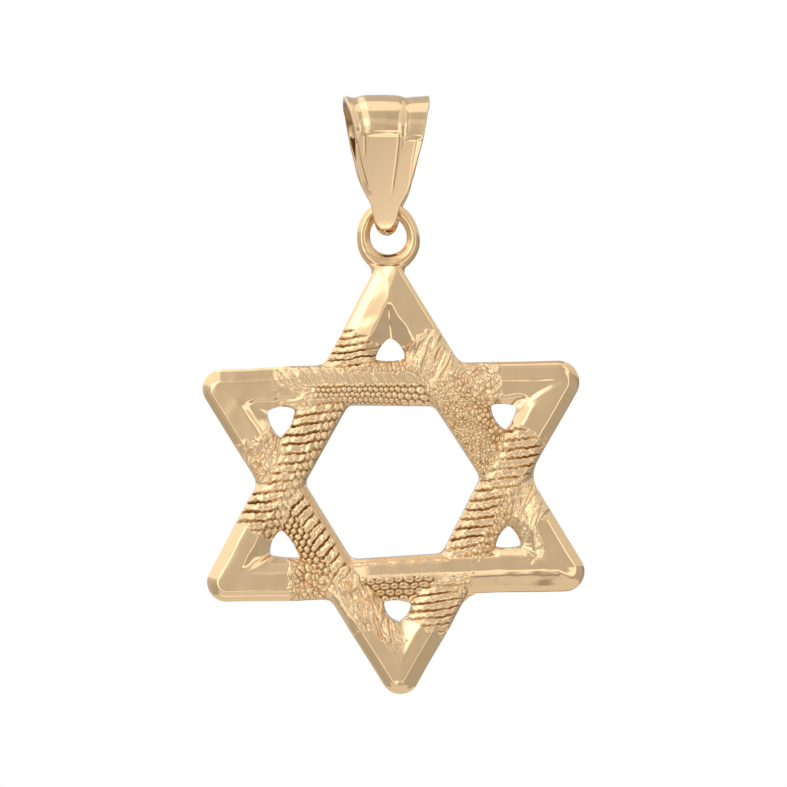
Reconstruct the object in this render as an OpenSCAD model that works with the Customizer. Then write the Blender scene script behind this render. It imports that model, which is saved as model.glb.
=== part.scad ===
/* [Star] */
// Distance from the middle of the star to the sharp corner of a point
star_radius = 13; // [11:0.1:16]
// Width of each of the six woven bars
bar_w = 2.3; // [1.8:0.05:2.6]
// Rounding of the six points, seen from the front
point_round = 0.92; // [0.3:0.02:1.3]
// Lean of the star to the left, seen from the front
star_lean = 1.7; // [0:0.1:3]

/* [Cast body] */
// Height of the plain side wall above the flat back
wall_h = 0.75; // [0.5:0.05:1]
// Height of the polished points above the back
point_h = 1.5; // [1.2:0.05:1.8]
// Height of the textured bars above the back, halfway between two crossings
bar_h = 1.42; // [1.1:0.02:1.7]
// How far a bar rises where it passes over, and dips where it passes under
weave_rise = 0.26; // [0.1:0.02:0.35]
// How far the end of a bar runs in under the bar that passes over it
crossing_lap = 0.3; // [0.1:0.05:0.5]
// How far the relief stands back from the edge of the side wall
relief_inset = 0.04; // [0.02:0.01:0.1]

/* [Polished points] */
// Length of a point along its bar, from the sharp corner to the texture
point_len = 5.1; // [4:0.1:6]
// Width of the bevel along the outer edges
outer_bevel = 0.45; // [0.2:0.05:0.7]
// Width of the slope towards the small hole
inner_slope = 0.72; // [0.3:0.02:0.9]
// Width of the step down to the texture
end_slope = 0.2; // [0.1:0.05:0.4]

/* [Ridges] */
// Spacing of the ridges, square to their own direction
ridge_pitch = 0.5; // [0.4:0.02:0.8]
// Depth of the grooves between the ridges
groove_depth = 0.14; // [0.05:0.01:0.2]
// Angle between a ridge and its bar
ridge_angle = 60; // [45:1:75]
// Share of the spacing that the flat of a ridge takes
ridge_flat = 0.55; // [0.3:0.05:0.7]

/* [Small holes] */
// How far the edges of the six small holes stand inside the bars
hole_inset = 0.17; // [0.05:0.01:0.25]
// Rounding of their corners
hole_round = 0.22; // [0.1:0.02:0.3]

/* [Ring] */
// Outer diameter of the soldered ring
ring_d = 3.5; // [3.2:0.05:4.5]
// Thickness of its round wire
wire_d = 0.73; // [0.5:0.01:0.8]
// How far the ring sits below the sharp corner of the top point
ring_sink = 1.05; // [0.9:0.05:1.3]
// Height of the middle of the wire above the back of the star
ring_level = 0.66; // [0.5:0.02:0.9]
// Thickness of the solder at the foot of the ring
solder_d = 0.56; // [0.4:0.02:0.6]
// Width of the solder where the ring meets the top point
solder_w = 2.1; // [1.6:0.05:2.3]
// How far the solder runs down the top point
solder_drop = 0.5; // [0.3:0.05:0.8]

/* [Bail] */
// Width at the fold, where the chain runs
bail_w = 5; // [4:0.1:6]
// Depth of the fold from front to back
bail_depth = 4.1; // [3.6:0.1:5]
// Thickness of the folded sheet
sheet = 0.34; // [0.25:0.01:0.45]
// Drop from the middle of the fold to the wire of the ring
bail_drop = 4.32; // [3.8:0.02:5.5]
// Gap between the wire and the inside of the bail
eye_gap = 0.52; // [0.45:0.01:0.6]
// Length of the front leaf below the eye
front_lap = 0.3; // [0.2:0.02:0.4]
// Length of the back leaf below the eye
back_lap = 0.62; // [0.5:0.02:0.7]
// Depth of the two flutes in each face
flute_depth = 0.24; // [0.05:0.01:0.3]
// Turn of the bail to the right, seen from above
bail_turn = 5; // [0:0.5:7]

/* [Hidden] */
sides = 6;
turn = 360 / sides;
outer_line = star_radius * cos(turn);
inner_line = outer_line - bar_w;
bar_line = outer_line - bar_w / 2;
crossing_s = bar_line * tan(turn / 2);
corner_s = outer_line * tan(turn);
texture_reach = corner_s - point_len + end_slope;
wire_r = wire_d / 2;
ring_r = ring_d / 2 - wire_r;
ring_rise = star_radius - ring_sink + ring_d / 2;
foot_z = wall_h / 2;
base_z = mix(foot_z, wall_h, 0.75);
sunk_z = mix(foot_z, wall_h, 0.5);
fold_r = bail_depth / 2 - sheet;
eye_r = wire_r + eye_gap;
taper = asin((fold_r - eye_r) / bail_drop);
// Shares across a bar: place, height and depth of groove
BAR_PROFILE = [
    [-1.00, -0.15, 0.0],
    [-0.76,  0.75, 0.5],
    [-0.30,  1.00, 1.0],
    [ 0.35,  1.00, 1.0],
    [ 0.80,  0.72, 0.5],
    [ 1.00, -0.15, 0.0]
];
// Half widths of the bail as shares of its full width, against shares of the drop below the fold's middle
BAIL_OUTLINE = [
    [-0.50, 0.500],
    [-0.30, 0.497],
    [ 0.00, 0.440],
    [ 0.20, 0.400],
    [ 0.40, 0.360],
    [ 0.60, 0.315],
    [ 0.75, 0.275],
    [ 0.90, 0.222],
    [ 0.98, 0.180],
    [ 1.03, 0.150],
    [ 1.09, 0.120],
    [ 1.18, 0.096],
    [ 1.24, 0.084],
    [ 1.27, 0.050]
];
// Shares across the bail: place and outward offset of the flutes
FLUTES = [
    [-1.00,  0.15],
    [-0.92,  0.00],
    [-0.78, -0.55],
    [-0.60, -1.00],
    [-0.48, -0.80],
    [-0.25, -0.22],
    [ 0.00,  0.00],
    [ 0.25, -0.22],
    [ 0.48, -0.80],
    [ 0.60, -1.00],
    [ 0.78, -0.55],
    [ 0.92,  0.00],
    [ 1.00,  0.15]
];

function mix(a, b, t) = a + (b - a) * t;
function polar(r, a) = [r * cos(a), r * sin(a)];
function curve(a, b, c, t) = mix(mix(a, b, t), mix(b, c, t), t);

// Points of a rounded corner at b, between a and c
function round_corner(a, b, c, r, steps) =
    let (
        u = (a - b) / norm(a - b),
        v = (c - b) / norm(c - b),
        half = acos(u * v) / 2,
        middle = b + (u + v) / norm(u + v) * r / sin(half),
        start = b + u * r / tan(half) - middle,
        finish = b + v * r / tan(half) - middle,
        from = atan2(start.y, start.x),
        swing = (atan2(finish.y, finish.x) - from + 540) % 360 - 180
    )
    [for (i = [0 : steps]) middle + polar(r, from + swing * i / steps)];

// A solid through a row of like outlines, either with two ends or closed into a loop
module skin(rings, closed = false) {
    n = len(rings);
    m = len(rings[0]);
    last = closed ? n - 1 : n - 2;
    walls = [for (i = [0 : last], j = [0 : m - 1])
        let (a = i * m, b = (i + 1) % n * m, k = (j + 1) % m)
        each [[a + j, b + k, b + j], [a + j, a + k, b + k]]];
    ends = closed ? [] : [[for (j = [m - 1 : -1 : 0]) j], [for (j = [0 : m - 1]) (n - 1) * m + j]];
    polyhedron(points = [for (ring = rings, p = ring) p], faces = concat(walls, ends), convexity = 8);
}

// A triangle with round corners, given its reach from the middle to a sharp corner
module round_triangle(reach, r) {
    hull() for (k = [0 : 2]) rotate(120 * k) translate([0, reach - 2 * r]) circle(r);
}

// The plain lower part of the casting: two triangles with the middle and six small holes cut through
module back_plate() {
    hole_reach = (star_radius - 2 * (bar_w + hole_inset) - outer_line - hole_inset) * 2 / 3;
    linear_extrude(wall_h) difference() {
        for (flip = [0, 180]) rotate(flip) round_triangle(star_radius, point_round, $fn = 36);
        circle(inner_line / cos(turn / 2), $fn = sides);
        for (k = [0 : sides - 1]) rotate(turn * k)
            translate([0, outer_line + hole_inset + hole_reach / 2])
            round_triangle(hole_reach, hole_round, $fn = 18);
    }
}

// Height of the crown of a bar: high where it passes over, low where it passes under, sunk inside the points
function crown(s) =
    let (inside = abs(s) - texture_reach)
    inside > end_slope ? sunk_z : bar_h + weave_rise * sin(90 * s / crossing_s);

// One cross-section of a bar along the line of a ridge, with its groove share
function bar_section(start, groove) =
    let (half = bar_w / 2 - relief_inset)
    concat(
        [[start - half / tan(ridge_angle), -half, foot_z]],
        [for (p = BAR_PROFILE)
            let (
                v = p[0] * half,
                s = start + v / tan(ridge_angle),
                rise = (crown(s) - wall_h) * p[1]
            )
            [s, v, wall_h + rise - groove_depth * groove * p[2]]],
        [[start + half / tan(ridge_angle), half, foot_z]]
    );

// A ridged stretch of a bar lying along X, with whole ridges between two places
module ridged_stretch(from, to) {
    count = round((to - from) * sin(ridge_angle) / ridge_pitch);
    step = (to - from) / count;
    flat = step * ridge_flat;
    skin([for (i = [0 : count - 1]) each [
        bar_section(from + i * step, 0),
        bar_section(from + i * step + flat, 0),
        if (i < count - 1) bar_section(from + (i + 0.5) * step + flat / 2, 1)
    ]]);
}

// A bar's textured stretches on each side of the bar that passes over it
module woven_bar() {
    end = texture_reach + bar_w / 2 / tan(ridge_angle) + end_slope;
    half_crossing = bar_w / 2 / sin(turn) - crossing_lap;
    ridged_stretch(-end, -crossing_s - half_crossing);
    ridged_stretch(-crossing_s + half_crossing, end);
}

// Outline of a point, drawn in from its outer, inner and end edges
function point_outline(outer, inner, end) =
    let (
        corner = [0, star_radius],
        along = [sin(turn / 2), -cos(turn / 2)],
        across = [-cos(turn / 2), -sin(turn / 2)],
        out_end = corner + (point_len - end) * along + outer * across,
        in_end = corner + (point_len - end) * along + (bar_w - inner) * across,
        left = [[-out_end.x, out_end.y], [-in_end.x, in_end.y]],
        tip = [0, star_radius - 2 * outer],
        round_r = max(point_round - outer, point_round / 4)
    )
    concat(
        round_corner(out_end, tip, left[0], round_r, 4),
        left,
        [[0, star_radius - 2 * (bar_w - inner)]],
        [in_end, out_end]
    );

function at_height(outline, z) = [for (p = outline) [p.x, p.y, z]];

module polished_point() {
    base = point_outline(relief_inset, relief_inset, 0);
    skin([
        at_height(point_outline(outer_bevel, inner_slope, end_slope), point_h),
        at_height(base, base_z),
        at_height(base, foot_z)
    ]);
}

module ring() {
    translate([0, ring_rise, ring_level])
        rotate_extrude($fn = 26) translate([ring_r, 0]) circle(d = wire_d, $fn = 10);
}

// Outline of the solder that fills the foot of the ring and both shoulders of the top point
function solder_outline(inset) =
    let (
        half = solder_w / 2 - inset,
        top = star_radius - ring_sink,
        low = top - solder_drop,
        low_half = (star_radius - low) * tan(turn / 2) * 0.9 - inset
    )
    concat(
        [for (i = [0 : 6]) [0, ring_rise] + polar(ring_r, mix(-132, -48, i / 6))],
        [[half, top], [low_half, low], [-low_half, low], [-half, top]]
    );

module solder() {
    skin([for (level = [[-1, 0.3], [-0.5, 0], [0.5, 0], [1, 0.3]])
        at_height(solder_outline(level[1] * solder_d), ring_level + level[0] * solder_d / 2)]);
}

// The cast star with its soldered ring, flat on its back with its front up
module star_casting() {
    back_plate();
    for (k = [0 : sides - 1]) rotate(turn * k) {
        translate([0, bar_line, 0]) mirror([1, 0, 0]) woven_bar();
        polished_point();
    }
    ring();
    solder();
}

module star() {
    color("goldenrod")
        translate([0, 0, -bail_drop]) rotate([0, -star_lean, 0])
        translate([0, ring_level, -ring_r - ring_rise]) rotate([90, 0, 0])
        star_casting();
}

function bail_half_w(z) = bail_w * lookup(-z / bail_drop, BAIL_OUTLINE);
function flute_share(z) = lookup(-z / bail_drop, [[-0.5, 0.65], [0.1, 1], [0.45, 0.7], [0.8, 0]]);

// A station of the bail: its outer point, its inner point, its outward direction, and the leaf's extra length
function station(outer, inner, out, longer) = [outer, inner, out, longer];

function fold_stations() = [for (i = [0 : 18])
    let (a = mix(-taper, 180 + taper, i / 18))
    station(polar(fold_r + sheet, a), polar(fold_r, a), polar(1, a), 0)];

// One leaf from the fold to its tip below the eye, on the back of the bail
function leaf_stations(lap) =
    let (
        eye = [0, -bail_drop],
        out = polar(1, -taper),
        fold_side = [(fold_r + sheet) * out, fold_r * out],
        eye_side = [eye + (eye_r + sheet) * out, eye + eye_r * out],
        bend_angle = 50,
        bend = eye + polar(eye_r + sheet, -bend_angle),
        tip = [sheet, -bail_drop - eye_r - lap],
        extra = lap - front_lap
    )
    concat(
        [for (i = [1 : 6])
            let (p = mix(fold_side, eye_side, i / 6))
            station(p[0], p[1], out, 0)],
        [for (a = [bend_angle / 2, bend_angle * 0.76])
            station(eye + polar(eye_r + sheet, -a), eye + polar(eye_r, -a), polar(1, -a), extra * a / bend_angle)],
        [for (i = [0 : 4])
            let (t = i / 4, inner = eye + polar(eye_r, -mix(bend_angle, 82, t)))
            station(curve(bend, [sheet, bend.y - sheet], tip, t), inner, [0, 0], extra)],
        [station([sheet / 17, tip.y - sheet / 11], eye + polar(eye_r, -87), [0, 0], extra)]
    );

function reversed(row) = [for (i = [len(row) - 1 : -1 : 0]) row[i]];
function flipped(p) = [-p.x, p.y];
function on_front(stations) = [for (s = stations) station(flipped(s[0]), flipped(s[1]), flipped(s[2]), s[3])];

// The closed outline across the sheet at one station
function bail_section(s) =
    let (
        depth = flute_depth * flute_share(s[0].y),
        w_out = bail_half_w(s[0].y + s[3]),
        w_in = bail_half_w(s[1].y + s[3])
    )
    concat(
        [for (f = FLUTES)
            let (p = s[0] + depth * f[1] * s[2])
            [w_out * f[0], p.x, p.y]],
        [for (i = [len(FLUTES) - 1 : -1 : 0])
            let (f = FLUTES[i], p = s[1] + depth * f[1] * s[2])
            [w_in * f[0], p.x, p.y]]
    );

module bail() {
    // From the back over the fold to the front, down the front leaf and up the back leaf
    front = on_front(leaf_stations(front_lap));
    back = reversed(leaf_stations(back_lap));
    stations = concat(fold_stations(), front, back);
    color("gold") rotate(bail_turn) skin([for (s = stations) bail_section(s)], closed = true);
}

bail();
star();
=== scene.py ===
import math
import bmesh
import bpy
from mathutils import Matrix, Vector, noise


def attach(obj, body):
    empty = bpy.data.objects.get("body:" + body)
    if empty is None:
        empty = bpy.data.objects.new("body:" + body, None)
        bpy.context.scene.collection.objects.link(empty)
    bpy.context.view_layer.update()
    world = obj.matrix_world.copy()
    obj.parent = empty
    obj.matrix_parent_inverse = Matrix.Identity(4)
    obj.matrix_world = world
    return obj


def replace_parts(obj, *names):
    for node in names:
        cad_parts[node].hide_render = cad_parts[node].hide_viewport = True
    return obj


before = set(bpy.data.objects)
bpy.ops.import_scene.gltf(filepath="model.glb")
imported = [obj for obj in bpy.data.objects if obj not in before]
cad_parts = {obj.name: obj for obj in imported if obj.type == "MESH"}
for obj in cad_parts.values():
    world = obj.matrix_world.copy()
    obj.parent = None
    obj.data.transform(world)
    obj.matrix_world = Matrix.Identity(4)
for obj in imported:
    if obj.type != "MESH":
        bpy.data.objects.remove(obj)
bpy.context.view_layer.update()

# Lengths are in millimetres until a piece is finished
MM = 0.001
BAR_SPACING = 0.03
POINT_SPACING = 0.05

# The star lies flat on its back as it is made: X to the right, Y up to the ring, Z to the front. Then the
# top of its ring hangs BAIL_DROP below the middle of the bail's fold
RING_CENTRE = (0.0, 13.7)
RING_LEVEL = 0.66
RING_RADIUS = 1.385
WIRE_RADIUS = 0.365
BAIL_DROP = 4.32
STAR_LEAN = math.radians(1.7)
# Bars, counter-clockwise from the top one: reach of the outer line, degrees that it leans from its
# regular direction, reach of the side of the middle hole. Point k stands beyond bar k
BARS = (
    (6.302, -0.12, 4.07), (6.622, 0.12, 4.22), (6.529, 0.21, 4.28),
    (6.465, -0.37, 4.18), (6.557, -0.83, 4.11), (6.525, -0.19, 4.02),
)
# How far each bar's outer line really stands out at its left end, left seam, right seam and right end.
# The ends are BAR_END from its middle
BAR_END = 8
EDGE_SHIFTS = (
    (0.07, 0.09, 0.17, 0.08), (-0.15, -0.21, 0.01, -0.02), (-0.01, 0.0, 0.0, -0.03),
    (0.1, 0.15, -0.07, -0.03), (0.09, 0.15, -0.1, -0.05), (0.0, 0.01, -0.03, -0.04),
)
# The sides of the middle hole: how far each stands out from its reach, and how fast along the bar
HOLE_SIDE_HALF = 3
HOLE_SIDES = ((0.03, 0.037), (0.02, 0.016), (0.077, 0.004), (0.12, -0.043), (0.135, -0.04), (0.08, -0.027))
# Distance along the bars of the notches and of the middle hole's corners, with the reach of their fillets
NOTCH = 3.75
NOTCH_FILLETS = (0.55, 0.5, 0.45, 0.8, 0.9, 0.5)
HOLE_CORNER = 2.45
HOLE_FILLET = 0.35
# How flat a fillet is, and where its middle lies along the bars and across them, in shares of its reach
FLATNESS = 3.46
FILLET_ALONG = 0.134
FILLET_ACROSS = 0.155
# A straight side bulges a little, so that the back's outline has no three places in one line
BULGE = 0.003
# Heights of a bar's wall and crown, and how far the weave lifts the crown at WEAVE_PLACE along the bar
WALL_TOP = 0.8
CROWN = 1.4
WEAVE_RISE = 0.08
WEAVE_PLACE = 3.09
# How square each bar's crown is, on its outer and on its inner half
CROWN_SQUARE = ((7, 4), (3.2, 6), (5, 8), (6, 8), (6, 3.2), (6, 6))
# Radius of each point's tip, and how softly the slopes of its legs meet on its middle line
TIP_ROUNDS = (0.92, 1.08, 1.1, 1.06, 1.12, 1.2)
CREST_ROUNDS = (0.2, 0.85, 0.85, 0.85, 0.85, 0.85)
# Bars and points meet at SEAM along the bars. Each runs on past it by LAP and dips by DIP there, and the
# points' back lies BACK_LIFT over the bars'
SEAM = 5.6
LAP = 0.05
DIP = 0.005
BACK_LIFT = 0.004
# Depth of the grids on the bars and on the points, and how much further a point's may run
GRID_DEPTH = 2.5
GRID_SPARE = 1.06
RIDGE_SPACING = 0.5
RIDGE_ANGLE = math.radians(54)
# The top point is cut level here, where the solder covers it
SOLDER_LINE = 11.9
CUT_LEVEL = 0.95

# Corners of each small hole, seen with its own point upwards: left, right, top; and how far its lower,
# right and left sides bulge out
HOLES = (
    (((-0.86, 6.7), (0.79, 6.7), (-0.03, 7.9)), (0.09, 0.24, 0.13)),
    (((-0.98, 6.68), (0.82, 6.71), (-0.02, 8.04)), (0.17, 0.2, 0.16)),
    (((-0.97, 6.76), (0.92, 6.8), (0.03, 8.1)), (0.13, 0.22, 0.05)),
    (((-0.76, 6.92), (0.76, 6.76), (-0.03, 7.96)), (0.12, 0.25, 0.15)),
    (((-0.78, 6.8), (0.64, 6.74), (-0.1, 8.00)), (0.13, 0.08, 0.13)),
    (((-0.7, 6.76), (0.92, 6.74), (0.15, 7.98)), (0.2, 0.1, 0.1)),
)
HOLE_ROUND = 0.06

# Height of each leg of a point against the distance in from its outer edge: left leg, then right leg
POINT_LEGS = (
    (((0, 1.1), (0.07, 1.21), (0.6, 1.355), (0.68, 1.365), (1.4, 1.485), (1.47, 1.5), (1.54, 1.48),
      (1.64, 1.4), (2.6, 0.8)),
     ((0, 1.26), (0.05, 1.36), (0.14, 1.44), (0.2, 1.46), (1.36, 1.485), (1.42, 1.5), (1.58, 1.455),
      (1.66, 1.4), (2.6, 0.76))),
    (((0, 1.08), (0.05, 1.17), (0.29, 1.31), (0.33, 1.3), (0.4, 1.45), (1.0, 1.475), (1.42, 1.5),
      (1.6, 1.46), (1.8, 1.37), (2.6, 1.15)),
     ((0, 1.1), (0.07, 1.22), (0.54, 1.415), (0.64, 1.475), (0.72, 1.485), (0.86, 1.465), (1.4, 1.45),
      (1.72, 1.45), (1.78, 1.36), (1.86, 1.34), (2.3, 1.31), (2.6, 1.0))),
    (((0, 1.06), (0.1, 1.2), (0.34, 1.34), (0.39, 1.26), (0.46, 1.42), (0.64, 1.475), (0.68, 1.46),
      (1.42, 1.475), (1.5, 1.49), (1.62, 1.44), (2.1, 1.38), (2.6, 1.1)),
     ((0, 1.02), (0.1, 1.16), (0.5, 1.42), (0.64, 1.48), (0.9, 1.49), (1.48, 1.475), (1.56, 1.42),
      (1.66, 1.34), (2.6, 0.8))),
    (((0, 1.06), (0.05, 1.15), (0.58, 1.38), (0.62, 1.36), (0.68, 1.47), (1.25, 1.49), (1.4, 1.515),
      (1.58, 1.47), (1.9, 1.37), (2.6, 1.18)),
     ((0, 1.08), (0.06, 1.2), (0.3, 1.33), (0.34, 1.32), (0.44, 1.44), (0.5, 1.47), (1.32, 1.49),
      (1.44, 1.51), (1.6, 1.46), (2.6, 1.2))),
    (((0, 1.08), (0.1, 1.26), (0.3, 1.38), (0.4, 1.445), (0.54, 1.478), (1.3, 1.48), (1.5, 1.5),
      (1.66, 1.44), (2.6, 1.00)),
     ((0, 0.98), (0.24, 1.1), (0.3, 1.13), (0.92, 1.375), (0.98, 1.395), (1.24, 1.463),
      (1.32, 1.475), (1.9, 1.475), (2.0, 1.49), (2.1, 1.4), (2.6, 1.0))),
    (((0, 1.1), (0.12, 1.34), (0.22, 1.44), (0.3, 1.47), (0.92, 1.475), (0.98, 1.495), (1.06, 1.46),
      (1.9, 1.37), (2.6, 0.95)),
     ((0, 1.02), (0.05, 1.12), (0.46, 1.37), (0.54, 1.44), (0.68, 1.475), (1.3, 1.475), (1.7, 1.47),
      (1.86, 1.42), (2.1, 1.28), (2.6, 0.95))),
)
# Where the polish ends on each leg, left leg, then right leg
POLISH_ENDS = ((6.25, 6.05), (6.2, 6.3), (5.9, 6.2), (6.3, 6.2), (6.15, 2.8), (6.1, 6.05))


def clamp(x, low=0.0, high=1.0):
    return low if x < low else high if x > high else x


def mix(a, b, t):
    return a + (b - a) * t


def between(start, end, t):
    return mix(start[0], end[0], t), mix(start[1], end[1], t)


def smooth(a, b, x):
    t = clamp((x - a) / (b - a))
    return t * t * (3 - 2 * t)


def bell(x, width):
    return math.exp(-(x / width) ** 2)


def along(table, x):
    """Value at x in rows of (place, value), with straight runs between them."""
    if x <= table[0][0]:
        return table[0][1]
    for (x0, y0), (x1, y1) in zip(table, table[1:]):
        if x < x1:
            return y0 + (y1 - y0) * (x - x0) / (x1 - x0)
    return table[-1][1]


def rounded(table, x):
    """The same with its corners rounded off."""
    return sum(along(table, x + step) for step in (-0.07, -0.04, -0.015, 0.015, 0.04, 0.07)) / 6


def rough(x, y, seed, size):
    """Smooth unevenness between -1 and 1, with lumps of a size."""
    return noise.noise(Vector((x / size, y / size, seed * 7.31)))


def soft_max(a, b, width):
    """The greater of two values, with the step between them melted over a width."""
    h = clamp(0.5 + 0.5 * (a - b) / width)
    return mix(b, a, h) + width * h * (1 - h)


def furthest(low, high, holds, halvings=22):
    """The furthest value from low towards high where something still holds."""
    for _ in range(halvings):
        middle = (low + high) / 2
        if holds(middle):
            low = middle
        else:
            high = middle
    return low


# Where things are on the star

def direction(degrees):
    return math.cos(math.radians(degrees)), math.sin(math.radians(degrees))


ACROSS = tuple(direction(90 + 60 * k + bar[1]) for k, bar in enumerate(BARS))


def bar_place(k, x, y):
    """Distance out from the middle, and distance along bar k counter-clockwise."""
    nx, ny = ACROSS[k]
    return x * nx + y * ny, y * nx - x * ny


def from_bar(k, u, s):
    nx, ny = ACROSS[k]
    return u * nx - s * ny, u * ny + s * nx


def outer_line(k, s):
    left, seam_left, seam_right, right = EDGE_SHIFTS[k]
    shifts = ((-BAR_END, left), (-SEAM, seam_left), (SEAM, seam_right), (BAR_END, right))
    return BARS[k][0] + along(shifts, s)


def inner_line(k, s):
    out, slope = HOLE_SIDES[k]
    return BARS[k][2] + out + slope * clamp(s, -HOLE_SIDE_HALF, HOLE_SIDE_HALF)


def meet(i, a, j, b):
    """Where the line along bar i at distance a meets the one along bar j at distance b."""
    (ix, iy), (jx, jy) = ACROSS[i], ACROSS[j]
    det = ix * jy - iy * jx
    return (a * jy - b * iy) / det, (b * ix - a * jx) / det


def tip_of(k, inset=0.0):
    """Where the outer lines of point k's two legs meet, or the lines that run inset within them."""
    right, left = (k - 1) % 6, (k + 1) % 6
    return meet(right, outer_line(right, BAR_END) - inset, left, outer_line(left, -BAR_END) - inset)


TIP_CENTRES = tuple(tip_of(k, TIP_ROUNDS[k]) for k in range(6))


def point_place(k, x, y):
    """Distance in from the outer edge of point k, share of its right leg, and distance out along the leg."""
    right, left = (k - 1) % 6, (k + 1) % 6
    u_right, s_right = bar_place(right, x, y)
    u_left, s_left = bar_place(left, x, y)
    d_right, d_left = outer_line(right, s_right) - u_right, outer_line(left, s_left) - u_left
    cx, cy = TIP_CENTRES[k]
    tip_round = TIP_ROUNDS[k]
    beyond_right = bar_place(right, x - cx, y - cy)[1]
    beyond_left = -bar_place(left, x - cx, y - cy)[1]
    d = min(d_right, d_left)
    if beyond_right > 0 and beyond_left > 0:
        d = tip_round - math.hypot(x - cx, y - cy)
    elif d > tip_round:
        d = -soft_max(-d_right, -d_left, 0.01 + CREST_ROUNDS[k] * smooth(tip_round, 1.8, d))
    # Round the tip the legs' profiles melt into one another
    width = mix(0.3, 1.25 * tip_round, smooth(-0.6, 0.5, min(beyond_right, beyond_left)))
    share = smooth(-width, width, d_left - d_right)
    return d, share, mix(-s_left, s_right, smooth(-0.3, 0.3, d_left - d_right))


def hole_gap(k, x, y):
    """Distance out from the edge of small hole k, seen with its point upwards; less than 0 inside."""
    total = 0.0
    corners, bulges = HOLES[k]
    for i in range(3):
        (ax, ay), (bx, by) = corners[i], corners[(i + 1) % 3]
        length = math.hypot(bx - ax, by - ay)
        out = ((by - ay) * (x - ax) - (bx - ax) * (y - ay)) / length
        t = ((bx - ax) * (x - ax) + (by - ay) * (y - ay)) / length ** 2
        total += math.exp(min((out - bulges[i] * 4 * t * (1 - t) * (0 < t < 1)) / HOLE_ROUND, 60))
    return HOLE_ROUND * math.log(total)


def hole_edge(k, share):
    """Place on the edge of small hole k: 0 its left corner, a third its right one, two thirds its top."""
    corners = HOLES[k][0]
    mx, my = sum(c[0] for c in corners) / 3, sum(c[1] for c in corners) / 3
    a = math.radians(210 + 360 * share)
    r = furthest(0.1, 1.6, lambda r: hole_gap(k, mx + r * math.cos(a), my + r * math.sin(a)) < 0)
    return turned(mx + r * math.cos(a), my + r * math.sin(a), -k)


def turned(x, y, k):
    """The place as seen with point k upwards."""
    a = -math.radians(60 * k)
    return x * math.cos(a) - y * math.sin(a), x * math.sin(a) + y * math.cos(a)


# The relief of the cast bars: each kind gives a height and how much painted shade the place gets, in its
# grooves and gaps

def leaves(p, q, seed, lip=1, spacing=RIDGE_SPACING, cut=0.15):
    """Slanted ridges like cushions, with scalloped lips on one side above a narrow groove."""
    q += 0.12 * rough(p, q * 0.4, seed, 1.1)
    row = math.floor(q / spacing + 0.05)
    chance = noise.noise(Vector((row * 1.7, seed, 0.5)))
    other = noise.noise(Vector((row * 2.9, seed, 4.5)))
    step = 0.36 + 0.05 * chance
    scallop = math.cos(math.tau * (p / step) + 9 * chance + 1.2 * rough(p, q, seed + 3, 0.8))
    q += 0.02 * scallop + 0.06 * rough(p, q, seed + 4, 0.38)
    f = q / spacing - row
    if lip < 0:
        f = 0.95 - f
    ripple = rough(p, row * 2.3, seed + 5, 0.4)
    width = 0.1 * (1 + 0.4 * ripple)
    groove = bell(f - 0.92, width) + bell(f + 0.08, width)
    side = (f - 0.42) / 0.46
    top = 0.05 * chance + 0.03 * rough(p, q * 2, seed + 9, 0.4) + 0.012 * scallop * smooth(0.3, 0.8, f)
    cushion = -0.046 * max(0.0, abs(side) - 0.2) ** 2 * (1 + 0.7 * ripple)
    cut *= 0.85 + 0.4 * ripple + 0.3 * other
    # Painted shade darkens the grooves
    return top + cushion - cut * groove, clamp(groove * (1.0 + 0.5 * other))


def pebbles(x, y, seed, size, height):
    """Fine uneven pebbles, close together."""
    x += 0.25 * size * rough(x, y, seed + 1, size * 1.5)
    near, where = noise.voronoi(Vector((x / size, y / size, seed * 3.7)))
    chance = noise.noise(where[0] * 2.3)
    gap = near[1] - near[0]
    dome = math.sqrt(max(0.0, 1 - min(near[0], 1.0) ** 2 * 1.1)) if near[0] < 0.95 else 0.0
    cut = 1 - smooth(0.0, 0.25, gap)
    # Painted shade in the gaps between the pebbles, less on some of them
    return height * (dome * (1.0 + 0.9 * chance) - 0.45 * cut - 0.5), clamp(cut * 0.45 - 0.5 * chance)


def beads(a, b, seed, step_a, step_b, height, ring=0.0):
    """Rows of beads laid like bricks, with a pit in the middle where ring is 1, and painted shade between the
    beads and in the pits.
    """
    a += 0.24 * step_a * rough(a, b, seed, step_a * 1.4)
    b += 0.24 * step_b * rough(a, b, seed + 2, step_b * 1.4)
    row = math.floor(b / step_b)
    a += (row % 2) * step_a / 2
    column = math.floor(a / step_a)
    x, y = a / step_a - column - 0.5, b / step_b - row - 0.5
    chance = noise.noise(Vector((column * 1.3, row * 1.9, seed)))
    r = math.hypot(x, y) * 2
    dome = math.sqrt(max(0.0, 1 - (r / (1.08 + 0.15 * chance)) ** 2))
    pit = ring * bell(r, 0.38)
    return height * (dome * (1 + 0.5 * chance) - 0.9 * pit - 0.55), clamp((r - 0.82) * 3.5) + pit * 0.8


def streaks(a, b, seed, height, size=0.3):
    """Smooth folds running along a, with a few sharp threads."""
    fold = rough(a * 0.3, b, seed, size)
    other = rough(a * 0.5, b, seed + 4, size * 1.7)
    thread = bell(fold + 0.15 * other, 0.18)
    # Painted shade where the folds lie low
    return height * (0.9 * other + 0.6 * thread + 0.4 * fold - 0.25), clamp(-1.0 * other - 0.35)


def plain(x, y, seed, height=0.02):
    """Almost smooth metal."""
    return height * rough(x, y, seed, 0.7), 0.0


def blend(first, second, share):
    """One kind of relief melting into another."""
    if share <= 0:
        return first
    if share >= 1:
        return second
    return between(first, second, share)


# Lifts a relief, and adds painted shade to it
def raised(relief, lift, hollow=0.0):
    return relief[0] + lift, clamp(relief[1] + hollow)


# The relief of each bar at s along it and w across it, outwards: p runs along its slanted ridges and q
# from ridge to ridge, and ragged is the unevenness of its borders

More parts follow.
